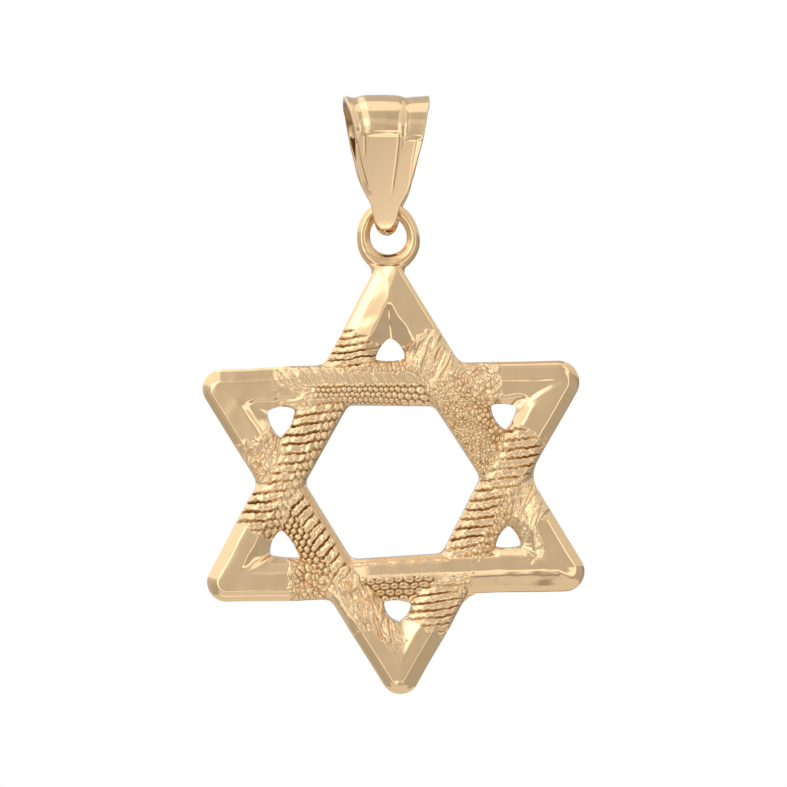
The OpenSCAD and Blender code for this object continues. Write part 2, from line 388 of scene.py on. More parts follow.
def top_relief(s, w, p, q, ragged):
    """Faint ridges over two rows of beads, with pebbles on the rim and folds at both ends."""
    faint = leaves(p, q, 3, -1)
    # The faint ridges keep only a little of their painted shade
    upper = (faint[0] * 0.3 + 0.03, faint[1] * 0.35 - 0.1)
    on_rim = smooth(0.62, 0.72, w + 0.1 * ragged) * smooth(3.0, 2.4, s)
    upper = blend(upper, pebbles(s, w, 2, 0.26, 0.1), on_rim)
    step = mix(0.42, 0.29, smooth(-2.5, 0.8, s))
    lower = beads(s, w + 0.1, 4, step, step, 0.11)
    out = blend(lower, upper, smooth(-0.02, 0.06, w + 0.08 * ragged))
    line = 0.07 * bell(w - 0.02 + 0.08 * ragged, 0.05)
    out = raised(out, line * smooth(-0.3, 0.1, rough(s, 0, 5, 0.3)))
    right_end = blend(pebbles(p, q, 6, 0.34, 0.16), streaks(q, p, 7, 0.16), 0.5)
    out = blend(out, right_end, smooth(-1.9, -2.6, s))
    return blend(out, streaks(s, w, 8, 0.1, 0.4), smooth(3.9, 4.6, s + 0.4 * ragged) * smooth(0.2, -0.2, w))


def upper_left_relief(s, w, p, q, ragged):
    """Ridges with lobes at their inner ends."""
    ridge = leaves(p, q, 11, 1)
    lobes = blend(ridge, beads(p, q + 0.05, 12, 0.34, 0.5, 0.15), 0.7)
    out = blend(ridge, raised(lobes, -0.04), smooth(-0.36, -0.46, w + 0.12 * ragged))
    out = raised(out, 0.05 * bell(w + 0.36 + 0.12 * ragged, 0.09))
    return blend(out, leaves(p, q * 1.3, 13, 1), smooth(-2.6, -3.4, s))


def lower_left_relief(s, w, p, q, ragged):
    """Beads beside ridges, a lower inner edge, and brush strokes towards the lower point."""
    left = beads(p * 0.95, q, 21, 0.36, 0.36, 0.17)
    right = raised(leaves(q * 0.4 - p * 0.9, p * 0.4 + q * 0.9, 22, 1, 0.52), 0.05 * bell(w + 0.62, 0.09))
    out = blend(right, left, smooth(0.1, 0.3, w + 0.2 * ragged))
    # The lowered inner edge gets an even painted shade
    inner_edge = (-0.12 - 0.2 * smooth(-0.8, -1.15, w), 0.25)
    out = blend(out, inner_edge, smooth(-0.74, -0.84, w + 0.12 * ragged))
    upper_end = blend(pebbles(p, q, 23, 0.3, 0.15), streaks(p, q, 24, 0.25), 0.6)
    out = blend(out, upper_end, smooth(-2.0, -2.7, s))
    strokes = streaks(s + 0.3 * w, w - 0.25 * s, 25, 0.19, 0.26)
    strokes = blend(strokes, plain(s, w, 26), smooth(0.15, 0.45, w + 0.2 * ragged))
    return blend(out, strokes, smooth(2.7, 3.5, s + 0.3 * ragged))


def bottom_relief(s, w, p, q, ragged):
    """A plain band between two lines, a row of small rings on its lower half, and pebbles on the left."""
    wave = rough(s, 0, 35, 0.5)
    band = raised(plain(p, q, 31, 0.012), 0.055 * bell(w + 0.79 + 0.12 * wave, 0.045))
    line, groove = bell(w - 0.68 - 0.12 * wave, 0.04), bell(w - 0.6 - 0.12 * wave, 0.03)
    # Painted shade in the groove beside the line
    band = raised(band, 0.03 * line, 0.5 * groove)
    rings = beads(s + 0.1, w + 0.02 + 0.05 * wave, 32, 0.54, 0.36, 0.15, ring=0.8)
    out = blend(band, rings, smooth(0.0, 0.06, w + 0.08 * ragged) * smooth(2.7, 2.3, s + 0.6 * ragged))
    return blend(out, pebbles(p, q, 33, 0.33, 0.15), smooth(-2.6, -3.0, s + 0.2 * ragged))


def lower_right_relief(s, w, p, q, ragged):
    """Ridges broken up by pebbles on the outer half."""
    ridge = leaves(p, q, 41, -1)
    small = blend(ridge, pebbles(p, q, 42, 0.28, 0.16), 0.75)
    out = blend(ridge, small, smooth(0.28, 0.5, w + 0.2 * ragged) * smooth(3.4, 2.6, s))
    out = raised(out, 0.05 * bell(w + 0.85, 0.2) * (0.5 + ragged))
    return blend(out, leaves(p * 0.8, q * 1.2, 43, -1, cut=0.12), smooth(-3.4, -4.2, s))


def upper_right_relief(s, w, p, q, ragged):
    """Fine pebbles inside, coarse ones outside, and folds at both ends."""
    fine, coarse = pebbles(p, q, 51, 0.2, 0.12), pebbles(p, q, 52, 0.29, 0.17)
    out = blend(fine, coarse, smooth(-0.1, 0.6, w + 0.5 * ragged))
    out = blend(out, streaks(p, q, 53, 0.19, 0.42), 0.9 * smooth(3.0, 3.8, s))
    return blend(out, streaks(p, q, 54, 0.15, 0.36), 0.85 * smooth(-3.2, -4.0, s))


RELIEFS = (top_relief, upper_left_relief, lower_left_relief, bottom_relief, lower_right_relief,
           upper_right_relief)


def bar_relief(k, s, w):
    p = s * math.cos(RIDGE_ANGLE) + w * math.sin(RIDGE_ANGLE)
    q = s * math.sin(RIDGE_ANGLE) - w * math.cos(RIDGE_ANGLE)
    return RELIEFS[k](s, w, p, q, rough(s, w, k + 20, 0.45))


def polished(k, x, y, d, share):
    """Height of the smooth metal of point k."""
    d += 0.1 * smooth(0.8, 1.4, d) * rough(x, y, k + 90, 0.8)
    left, right = POINT_LEGS[k]
    z = mix(rounded(left, d), rounded(right, d), share) + 0.035 * rough(x, y, k + 70, 1.3)
    z += 0.006 * rough(x, y, k + 75, 0.55)
    if k == 0:
        edge = y + 0.03 * rough(x, y, 99, 0.3)
        z = mix(z, CUT_LEVEL, smooth(SOLDER_LINE - 0.02, SOLDER_LINE + 0.03, edge))
    return z


def gloss_at(j, s, w, ragged):
    """How polished bar j is: 0 on its relief, 1 from where the polish of the next point begins."""
    end = POLISH_ENDS[(j + 1) % 6][1] if s > 0 else POLISH_ENDS[(j - 1) % 6][0]
    if j == 3 and s > 0:
        return smooth(end - 0.4, end + 0.4, s)
    if (j == 2 and s > 0) or (j == 5 and s < 0):
        # The folds run on down the inner slope
        end += 1.8 * smooth(0.1, -0.4, w)
    fade = 0.35 if j == 0 and s > 0 else 0.04
    return smooth(end - fade, end + fade, abs(s) + ragged)


def bar_body(j, s, w, v, depth):
    """Height of bar j without its relief, v of the way to its side and depth in from its outer edge."""
    body = (1 - min(v, 1.0) ** CROWN_SQUARE[j][w < 0]) ** 0.45
    crown = CROWN + WEAVE_RISE * math.sin(math.radians(90) * clamp(s / WEAVE_PLACE, -1.5, 1.5))
    z = WALL_TOP + (crown - WALL_TOP) * body - max(0.0, v - 1.0)
    if j != 3:
        return z
    # One smooth run with a crease joins this bar to its right point
    flat = rounded(POINT_LEGS[4][1], min(depth, 1.6))
    flat -= 0.16 * smooth(-1.4, -2.6, s) + 0.32 * smooth(0.8, 1.15, -w) * smooth(5.9, 5.5, s)
    return mix(z, flat, smooth(-3.4, -2.4, s))


def star_front(x, y):
    """Height of the star's front at a place, how much painted shade it gets there, and how polished."""
    k = round((math.degrees(math.atan2(y, x)) - 90) / 60) % 6
    px, py = turned(x, y, k)
    d, share, reach = point_place(k, x, y)
    smooth_height = polished(k, x, y, d, share)
    best, dark, polish = 0.0, 0.0, 0.0
    for j in range(6):
        u, s = bar_place(j, x, y)
        outer, inner = outer_line(j, s), inner_line(j, s)
        half, w = (outer - inner) / 2, u - (outer + inner) / 2
        # Beside bar j or far past its ends
        if abs(w) > 1.4 * half or abs(s) > 12:
            continue
        ragged = 0.22 * rough(s, w, j + 60, 0.42) + 0.1 * rough(s, w, j + 66, 0.16)
        on_point = j == (k - 1) % 6 and s > 0 or j == (k + 1) % 6 and s < 0
        gloss = gloss_at(j, s, w, ragged)
        # By the small holes the bars reach out to the edge of the hole
        reach_out = 0.26 * (smooth(2.0, 1.4, abs(s)) if w > 0 else smooth(4.0, 4.5, abs(s)))
        v = abs(w + 0.05 * (1 - gloss) * ragged * 4) / (half + reach_out)
        z = bar_body(j, s, w, v, outer - u)
        if on_point:
            z = mix(z, smooth_height, smooth(4.9, 5.9, abs(s)))
        elif abs(s) > 6.2:
            continue
        lift, hollow = bar_relief(j, s, w) if gloss < 1 else (0.0, 0.0)
        edge = smooth(1.04, 0.88, v) * (1 - gloss)
        z += (lift + 0.02) * edge
        melt = 0.002 + 0.12 * smooth(5.6, 4.8, reach)
        share_of_this = smooth(-melt, melt, z - best)
        # Painted shade comes from whichever bar lies on top
        dark = mix(dark, hollow * edge, share_of_this)
        polish = mix(polish, gloss, share_of_this)
        best = soft_max(z, best, melt)
    # Cast metal slopes down to the edge of a small hole, with painted shade where it dips below the bars
    gap = hole_gap(k, px, py)
    if gap < 0.4 and polish < 1:
        rim = 0.95 + 4.2 * max(gap, 0.0) + 0.2 * rough(x, y, 97, 0.3) + 3 * polish
        if rim < best:
            dark = max(dark, 0.25 * smooth(0.1, 0.5, best - rim))
            best = -soft_max(-best, -rim, 0.1)
    return best, dark, polish


# The star's pieces

def leg_end(k, side):
    """Where the bars end on a leg of point k: a place on the outer line, and a share of the hole's edge."""
    bar = (k - side) % 6
    cut = SEAM + LAP
    low, high = (1 / 3, 0.62) if side > 0 else (0.72, 1.0)
    share = furthest(low, high, lambda share: (leg_reach(bar, side, hole_edge(k, share)) < cut) == (side > 0))
    return from_bar(bar, outer_line(bar, side * cut), side * cut), share


def fillet_rise(length, t):
    """How far a fillet that starts at length from a corner stands out at t from the corner."""
    return (length - t) ** 2 / (FLATNESS * length) if t < length else 0.0


def rounded_corner(place, before, after, length, way):
    """A sharp corner between two bars, the middle of its fillet, and the fillet's reach."""
    (ax, ay), (bx, by) = ACROSS[before], ACROSS[after]
    step = way * FILLET_ACROSS * length
    return place, (place[0] + step * (ax + bx), place[1] + step * (ay + by)), length


def notch(k):
    """The filled corner of the outline between bar k and the next one."""
    left = (k + 1) % 6
    place = meet(k, outer_line(k, NOTCH), left, outer_line(left, -NOTCH))
    return rounded_corner(place, k, left, NOTCH_FILLETS[k], 1)


def hole_corner(k):
    """The rounded corner of the middle hole between bar k and the next one."""
    left = (k + 1) % 6
    place = meet(k, inner_line(k, HOLE_CORNER), left, inner_line(left, -HOLE_CORNER))
    return rounded_corner(place, k, left, HOLE_FILLET, -1)


def run(start, end, first, last, normal, way, count, low, high):
    """Places from one corner towards the next, with fillets first and last, and shares from low to high."""
    steps = max(1, round(count))
    length = math.hypot(end[0] - start[0], end[1] - start[1])
    places = []
    for i in range(steps):
        t = mix(FILLET_ALONG * first, length - FILLET_ALONG * last, i / steps)
        rise = way * (fillet_rise(first, t) + fillet_rise(last, length - t))
        rise += BULGE * math.sin(math.pi * t / length)
        x, y = between(start, end, t / length)
        places.append((x + rise * normal[0], y + rise * normal[1], mix(low, high, i / steps)))
    return places


def lay_bars(mesh, k, layers):
    """One sixth of the bars: a grid from the edge of small hole k out to the hexagon and the notches."""
    left, right = (k + 1) % 6, (k - 1) % 6
    cut_left, share_left = leg_end(k, -1)
    cut_right, share_right = leg_end(k, 1)
    top_left, top_right = notch(k), notch(right)
    low_left, low_right = hole_corner(k), hole_corner(right)
    end_right = 1 + share_right
    # Shares of the small hole's edge that face the outline's corners
    b, c = 1.035, 1.3
    a, d = mix(share_left, b, 0.45), mix(c, end_right, 0.55)
    # Columns from a cut to a notch, from there across the bar, and along the middle hole
    leg, across, side = 1.85 / BAR_SPACING, 2.66 / BAR_SPACING, 4.85 / BAR_SPACING
    outline = run(cut_left, top_left[0], 0.0, top_left[2], ACROSS[left], 1, leg, share_left, a)
    outline += run(top_left[1], low_left[1], 0.0, 0.0, (0, 0), 1, across, a, b)
    outline += run(low_left[0], low_right[0], low_left[2], low_right[2], ACROSS[k], -1, side, b, c)
    outline += run(low_right[1], top_right[1], 0.0, 0.0, (0, 0), 1, across, c, d)
    outline += run(top_right[0], cut_right, top_right[2], 0.0, ACROSS[right], 1, leg, d, end_right)
    outline.append((*cut_right, end_right))
    columns, rows = len(outline) - 1, round(GRID_DEPTH / BAR_SPACING)
    edge = [hole_edge(k, share) for _, _, share in outline]
    made = bmesh.ops.create_grid(mesh, x_segments=columns, y_segments=rows, size=1)["verts"]
    for vert in made:
        i, f = round((vert.co.x + 1) / 2 * columns), (vert.co.y + 1) / 2
        x, y = between(edge[i], outline[i], f)
        shape_vertex(vert, x, y, layers)
        # Past the seam the bars dip under the points
        vert.co.z -= DIP * smooth(SEAM - 0.01, SEAM + 0.04, point_place(k, x, y)[2])
    lay_back(mesh, made, 0.0, layers)


def shape_vertex(vert, x, y, layers):
    """Lays a vertex on the star's front."""
    z, hollow, polish = star_front(x, y)
    vert.co = (x, y, z)
    vert[layers[0]], vert[layers[1]] = hollow, polish


def leg_stations(k, side, bar, tip, half, steps):
    """The grid's columns on one leg of point k, up to the round of its tip, half its angle wide.

    Each has an outer and an inner place, the depth between them, and whether the small hole ends it.
    """
    tip_reach = leg_reach(bar, side, tip)
    way = (-ACROSS[bar][0], -ACROSS[bar][1])
    stations = []
    for i in range(steps + 1):
        reach = mix(SEAM - LAP, tip_reach - TIP_ROUNDS[k] / math.tan(half), i / steps)
        deep = min(3.0, (tip_reach - reach) * math.tan(half))
        start = from_bar(bar, outer_line(bar, side * reach), side * reach)
        depth = hole_depth(k, start, way, deep)
        end = (start[0] + way[0] * depth, start[1] + way[1] * depth)
        stations.append((start, end, depth, depth < deep))
    return stations


def tip_stations(k, right, left):
    """The grid's columns round the tip of point k, from its right leg to its left one."""
    (cx, cy), tip_round = TIP_CENTRES[k], TIP_ROUNDS[k]
    a0, a1 = (math.atan2(ACROSS[bar][1], ACROSS[bar][0]) for bar in (right, left))
    if a1 < a0:
        a1 += math.tau
    turns = max(4, round(tip_round * (a1 - a0) / POINT_SPACING / 1.5))
    stations = []
    for i in range(1, turns):
        a = mix(a0, a1, i / turns)
        start = (cx + tip_round * math.cos(a), cy + tip_round * math.sin(a))
        stations.append((start, (cx, cy), tip_round, False))
    return stations


def lay_point(mesh, k, layers):
    """The V of point k past the seam: a grid in from the outer edge to the hole or the middle line."""
    right, left = (k - 1) % 6, (k + 1) % 6
    tip = tip_of(k)
    half = (math.pi - math.acos(ACROSS[right][0] * ACROSS[left][0] + ACROSS[right][1] * ACROSS[left][1])) / 2
    steps = round((leg_reach(right, 1, tip) - TIP_ROUNDS[k] / math.tan(half) - SEAM) / POINT_SPACING)
    legs = [leg_stations(k, side, bar, tip, half, steps) for side, bar in ((1, right), (-1, left))]
    # Opposite places on the two legs meet on the middle line of the point
    for i, (one, other) in enumerate(zip(*legs)):
        if not one[3] and not other[3]:
            middle = ((one[1][0] + other[1][0]) / 2, (one[1][1] + other[1][1]) / 2)
            if i == steps:
                middle = TIP_CENTRES[k]
            legs[0][i], legs[1][i] = (one[0], middle, one[2], False), (other[0], middle, other[2], False)
    stations = legs[0] + tip_stations(k, right, left) + legs[1][::-1]
    columns, rows = len(stations) - 1, round(GRID_DEPTH / (POINT_SPACING * 0.8))
    made = bmesh.ops.create_grid(mesh, x_segments=columns, y_segments=rows, size=1)["verts"]
    for vert in made:
        start, end, deep, _ = stations[round((vert.co.x + 1) / 2 * columns)]
        share = min((vert.co.y + 1) / 2 * GRID_SPARE * GRID_DEPTH, deep) / deep
        x, y = between(start, end, share)
        shape_vertex(vert, x, y, layers)
        # Before the seam the points dip under the bars
        vert.co.z -= DIP * smooth(SEAM - 0.005, SEAM - LAP, point_place(k, x, y)[2])
    bmesh.ops.remove_doubles(mesh, verts=made, dist=0.003)
    lay_back(mesh, [v for v in made if v.is_valid], BACK_LIFT, layers)


def leg_reach(bar, side, place):
    """Distance of a place out along a leg."""
    return side * bar_place(bar, *place)[1]


def hole_depth(k, start, way, deep):
    """How far a line runs in from the outer edge before it meets small hole k."""
    def in_hole(d):
        return hole_gap(k, *turned(start[0] + way[0] * d, start[1] + way[1] * d, k)) < 0

    low, high = 1.2, deep
    if high <= low or not in_hole(high):
        tries = [low + (high - low) * i / 12 for i in range(13)] if high > low else []
        inside = [d for d in tries if in_hole(d)]
        if not inside:
            return deep
        high = inside[0]
    return furthest(low, high, lambda d: not in_hole(d), halvings=20)


def flatten(parts, level, layers):
    """Lays the vertices among the parts at one level, as plain smooth metal."""
    for vert in parts:
        if isinstance(vert, bmesh.types.BMVert):
            vert.co.z = level
            vert[layers[0]], vert[layers[1]] = 0.0, 1.0


def lay_back(mesh, front, level, layers):
    """A flat back with the outline of a front."""
    rim = {e for v in front for e in v.link_edges if e.is_boundary}
    copy = bmesh.ops.duplicate(mesh, geom=list(rim))["geom"]
    flatten(copy, level, layers)
    outline = [e for e in copy if isinstance(e, bmesh.types.BMEdge)]
    bmesh.ops.triangle_fill(mesh, use_beauty=True, edges=outline)


def close_sides(mesh, level, layers):
    """Walls from the open edges of the front down to the back."""
    rim = [e for e in mesh.edges if e.is_boundary and min(v.co.z for v in e.verts) > level + 0.1]
    flatten(bmesh.ops.extrude_edge_only(mesh, edges=rim)["geom"], level, layers)
    bmesh.ops.remove_doubles(mesh, verts=[v for v in mesh.verts if v.co.z < level + 0.001], dist=0.0005)
    # The walls meet the front and the flat back at crisp edges
    for edge in rim + [e for e in mesh.edges if max(v.co.z for v in e.verts) < level + 0.001]:
        edge.smooth = False
    bmesh.ops.recalc_face_normals(mesh, faces=mesh.faces)


def finish_layers(mesh):
    """How much painted shade and how much polish each vertex has, for the finishes."""
    return mesh.verts.layers.float.new("hollow"), mesh.verts.layers.float.new("polish")


def woven_bars(name, sectors, material):
    """The bars round two neighbouring small holes."""
    mesh = bmesh.new()
    layers = finish_layers(mesh)
    for k in sectors:
        lay_bars(mesh, k, layers)
    bmesh.ops.remove_doubles(mesh, verts=mesh.verts, dist=0.0005)
    close_sides(mesh, 0.0, layers)
    return finish_piece(mesh, name, star_place(), material, "star")


def polished_points(material):
    """The six points in one piece, just above the bars' back where they lap."""
    mesh = bmesh.new()
    layers = finish_layers(mesh)
    for k in range(6):
        lay_point(mesh, k, layers)
    close_sides(mesh, BACK_LIFT, layers)
    return finish_piece(mesh, "polished_points", star_place(), material, "star")


def add_object(mesh, name, material):
    data = bpy.data.meshes.new(name)
    mesh.to_mesh(data)
    mesh.free()
    data.materials.append(material)
    made = bpy.data.objects.new(name, data)
    bpy.context.scene.collection.objects.link(made)
    return made


def finish_piece(mesh, name, place, material, body):
    """Makes a mesh a piece in its place, riding on a body, with its finish."""
    mesh.transform(place)
    piece = add_object(mesh, name, material)
    for polygon in piece.data.polygons:
        polygon.use_smooth = True
    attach(piece, body)
    return piece


def star_place():
    """From the flat star in millimetres to where it hangs in the frame."""
    return (
        Matrix.Translation((0, 0, -BAIL_DROP * MM))
        @ Matrix.Rotation(-STAR_LEAN, 4, "Y")
        @ Matrix.Translation((0, RING_LEVEL * MM, -(RING_RADIUS + RING_CENTRE[1]) * MM))
        @ Matrix.Rotation(math.radians(90), 4, "X")
        @ Matrix.Scale(MM, 4)
    )


# Half widths of the solder from its foot, hidden in the star, up to the middle line of the wire
SOLDER_WIDTHS = ((0, 0.92), (0.25, 0.93), (0.38, 1.00), (0.5, 1.1), (0.65, 1.18), (0.85, 1.24), (1.0, 1.26))
SOLDER_FOOT = (11.45, 0.72)
SOLDER_THICK = (0.6, 0.33)
# How far the foot of the ring has sagged into the solder
RING_SAG = 0.28


def lay_ring(mesh):
    """The round wire ring, worn in front, sagged and thicker at its foot."""
    section = Matrix.Translation((RING_RADIUS, 0, 0)) @ Matrix.Rotation(math.radians(90), 4, "X")
    bmesh.ops.create_circle(mesh, segments=32, radius=WIRE_RADIUS, matrix=section)
    bmesh.ops.spin(mesh, geom=mesh.verts[:] + mesh.edges[:], cent=(0, 0, 0), axis=(0, 0, 1), angle=math.tau,
                   steps=120, use_merge=True)
    bmesh.ops.remove_doubles(mesh, verts=mesh.verts, dist=0.0005)
    for vert in mesh.verts:
        x, y, z = vert.co
        a, reach = math.degrees(math.atan2(y, x)), math.hypot(x, y)
        out, level = (reach - RING_RADIUS) / WIRE_RADIUS, z / WIRE_RADIUS
        thick = 1 + 0.14 * bell(a + 90, 40) + 0.03 * rough(x, y, 81, 0.7)
        # The wire's front is worn to a slope that faces the middle of the ring
        worn = 0.16 * smooth(0.1, 0.9, level) * smooth(0.7, -0.9, out)
        reach = RING_RADIUS + out * WIRE_RADIUS * thick
        level = (level * thick - worn) * WIRE_RADIUS + 0.012 * rough(x, y, 82, 0.35)
        x, y = reach * math.cos(math.radians(a)), reach * math.sin(math.radians(a))
        # The lower half has sagged towards the star and got thicker
        sag = smooth(1.75, -0.3, y)
        vert.co = (x + 0.09 * sag, y - mix(RING_SAG, 0.08, (1 - out) / 2) * sag - 0.1 * sag, level)
    bmesh.ops.translate(mesh, verts=mesh.verts, vec=(*RING_CENTRE, RING_LEVEL))


def lay_solder(mesh):
    """The solder from the ring down over the star's cut top: a closed barrel, pressed to its shape."""
    columns, rows = 96, 30
    made = bmesh.ops.create_circle(mesh, segments=columns, radius=1)["verts"]
    rim = list({e for v in made for e in v.link_edges})
    end = bmesh.ops.spin(mesh, geom=made + rim, cent=(0, 0, 0), axis=(0, 0, 1), dvec=(0, 0, 1 / rows),
                         angle=0, steps=rows)["geom_last"]
    bmesh.ops.contextual_create(mesh, geom=[e for e in rim if e.is_valid])
    bmesh.ops.contextual_create(mesh, geom=[g for g in end if isinstance(g, bmesh.types.BMEdge)])
    # The barrel stands on the middle of the star, far below the ring
    for vert in [v for v in mesh.verts if v.co.z >= -0.0001 and math.hypot(v.co.x, v.co.y) < 1.0001]:
        across, deep, up = vert.co
        x = across * along(SOLDER_WIDTHS, up)
        top = RING_CENTRE[1] - RING_SAG - math.sqrt(max(0.05, RING_RADIUS ** 2 - x * x))
        y = mix(SOLDER_FOOT[0], top, up)
        grain = 0.035 * rough(x, y, 84, 0.22) + 0.05 * rough(x, y, 85, 0.6)
        thick = mix(*SOLDER_THICK, smooth(0.3, 1.0, up))
        vert.co = (x + 0.05 * up, y, mix(SOLDER_FOOT[1], RING_LEVEL, up) - deep * (thick + grain))


def soldered_ring(material):
    mesh = bmesh.new()
    lay_ring(mesh)
    lay_solder(mesh)
    bmesh.ops.recalc_face_normals(mesh, faces=mesh.faces)
    return finish_piece(mesh, "soldered_ring", star_place(), material, "star")


# The bail

# Thickness of the sheet and the round of its edges, outer radii of the fold and of the eye below it, how
# far the bail is turned, and the height of the two steps of the crease across it
SHEET = 0.34
SHEET_EDGE = 0.09
FOLD = 2.0
EYE_INSIDE = 0.885
EYE = EYE_INSIDE + SHEET
BAIL_TURN = math.radians(6.5)
CREASE_STEP = 0.012
# Shares of half the strip in its fold, its straight leaf and its tip
FOLD_SHARE = 0.38
LEAF_SHARE = 0.42
TIP_SHARE = 0.2
# The front tip, then the back one: how far it laps below the eye, how square and how late it turns
TIPS = ((0.5, 0.25, 2.2), (0.62, 0.42, 1.9))
# Shares of the way round the sheet's section on its face, each edge and its inside
FACE_SHARE = 0.56
EDGE_SHARE = 0.08
INSIDE_SHARE = 0.28
# Columns along the strip and rows round its section
BAIL_GRID = ((440, 200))
# Half widths against the drop below the middle of the fold
BAIL_EDGE = (
    (-2.1, 2.4), (-1.72, 2.34), (-1.38, 2.27), (-1.05, 2.17), (-0.7, 2.1), (0, 1.97), (0.96, 1.84),
    (1.96, 1.69), (2.5, 1.57), (2.96, 1.43), (3.3, 1.3), (3.63, 1.15), (3.97, 0.95), (4.3, 0.8), (4.6, 0.73),
    (4.88, 0.66), (5.12, 0.58), (5.3, 0.48), (5.42, 0.38), (5.5, 0.28), (5.55, 0.17), (5.58, 0.05),
)
# How far the fold stands out across the strip, from its left edge to its right one
FLUTES = (
    (-1.0, -0.01), (-0.95, -0.04), (-0.87, -0.11), (-0.78, -0.13), (-0.7, -0.11), (-0.57, -0.02),
    (-0.5, 0.0), (-0.1, 0.02), (0.28, 0.0), (0.41, -0.07), (0.445, -0.13), (0.5, -0.09), (0.6, -0.06),
    (0.92, -0.02), (0.97, 0.01), (1.0, 0.02),
)


def fold_face(u, drop):
    """The fluted face above the crease."""
    return rounded(FLUTES, u) * mix(1.0, 1.25, smooth(-1.2, -1.9, drop))


def leaf_face(u, drop):
    """The flatter face below the crease with its engraved lines: how far out it is, and the painted shade in
    the lines.
    """
    left = along(((0.45, -0.97), (1.4, -0.88), (2.34, -0.79), (3.4, -0.74)), drop)
    middle = along(((0.4, 0.27), (1.8, 0.31), (3.2, 0.27)), drop)
    right = along(((0.5, 0.78), (2.0, 0.83), (3.2, 0.93)), drop)
    cut = bell(u - left, 0.028) * smooth(0.5, 0.9, drop) + bell(u + 0.72, 0.026) * smooth(1.7, 1.2, drop)
    cut += bell(u - middle, 0.03) + 0.7 * bell(u - middle - 0.085, 0.026) * smooth(1.5, 0.6, drop)
    cut += 0.7 * bell(u - right, 0.026)
    out = -0.045 * smooth(left + 0.04, left - 0.04, u) - 0.03 * smooth(right, 1.0, u)
    fade = smooth(3.7, 2.9, drop)
    return (out - 0.005 * cut) * fade, cut * fade


def strip_path(t):
    """Outer face of the strip, side view: t from 0 at the front tip, 0.5 at the top, 1 at the back tip."""
    taper = math.asin((FOLD - EYE) / BAIL_DROP)
    side = -1 if t < 0.5 else 1
    f = abs(t - 0.5) * 2
    if f < FOLD_SHARE:
        a = math.radians(mix(90, -math.degrees(taper), f / FOLD_SHARE))
        return side * FOLD * math.cos(a), FOLD * math.sin(a), side * math.cos(a), math.sin(a)
    ca, sa = math.cos(-taper), math.sin(-taper)
    leaf_end = FOLD_SHARE + LEAF_SHARE
    if f < leaf_end:
        g = (f - FOLD_SHARE) / LEAF_SHARE
        return side * mix(FOLD * ca, EYE * ca, g), mix(FOLD * sa, -BAIL_DROP + EYE * sa, g), side * ca, sa
    # Straight on almost to its end, then round the corner towards the other tip
    lap, square, late = TIPS[side > 0]
    a = math.radians(90) * min(1.0, (f - leaf_end) / TIP_SHARE) ** late
    start = (EYE * ca, -BAIL_DROP + EYE * sa)
    deep = start[1] + BAIL_DROP + EYE - SHEET + lap
    lean = deep * math.tan(taper)
    wide = start[0] - SHEET - lean
    sine, cosine = math.sin(a), max(0.0, math.cos(a))
    down, turn = sine ** square, 1 - cosine ** square
    dy = -lean * cosine ** (2 - square) - wide * sine ** (2 - square)
    dz = -deep * cosine ** (2 - square)
    length = math.hypot(dy, dz)
    y, z = start[0] - lean * down - wide * turn, start[1] - deep * down
    return side * y, z, side * -dz / length, dy / length


def sheet_place(f, half):
    """Across and depth of a place round the sheet's section, from its left edge over the face and back."""
    edge = min(SHEET_EDGE, 0.5 * half)
    flat = half - edge
    inside_start = FACE_SHARE + EDGE_SHARE
    inside_end = inside_start + INSIDE_SHARE
    if f < FACE_SHARE:
        return mix(-flat, flat, f / FACE_SHARE), 0.0
    if f < inside_start:
        a = math.pi * (f - FACE_SHARE) / EDGE_SHARE
        return flat + edge * math.sin(a) ** 0.7, SHEET * (1 - math.cos(a)) / 2
    if f < inside_end:
        return mix(flat, -flat, (f - inside_start) / INSIDE_SHARE), SHEET
    a = math.pi * min(1.0, (f - inside_end) / EDGE_SHARE)
    return -flat - edge * abs(math.sin(a)) ** 0.7, SHEET * (1 + math.cos(a)) / 2


def leaf_aside(back, drop):
    """How far the strip has slipped to the right below the fold."""
    if back:
        return 0.1 * smooth(2.4, 4.0, drop) + 0.11 * smooth(0.3, 2.2, drop) - 0.08 * smooth(4.3, 5.1, drop)
    return -0.13 * smooth(0.3, 2.2, drop) - 0.02 * smooth(3.8, 4.8, drop)


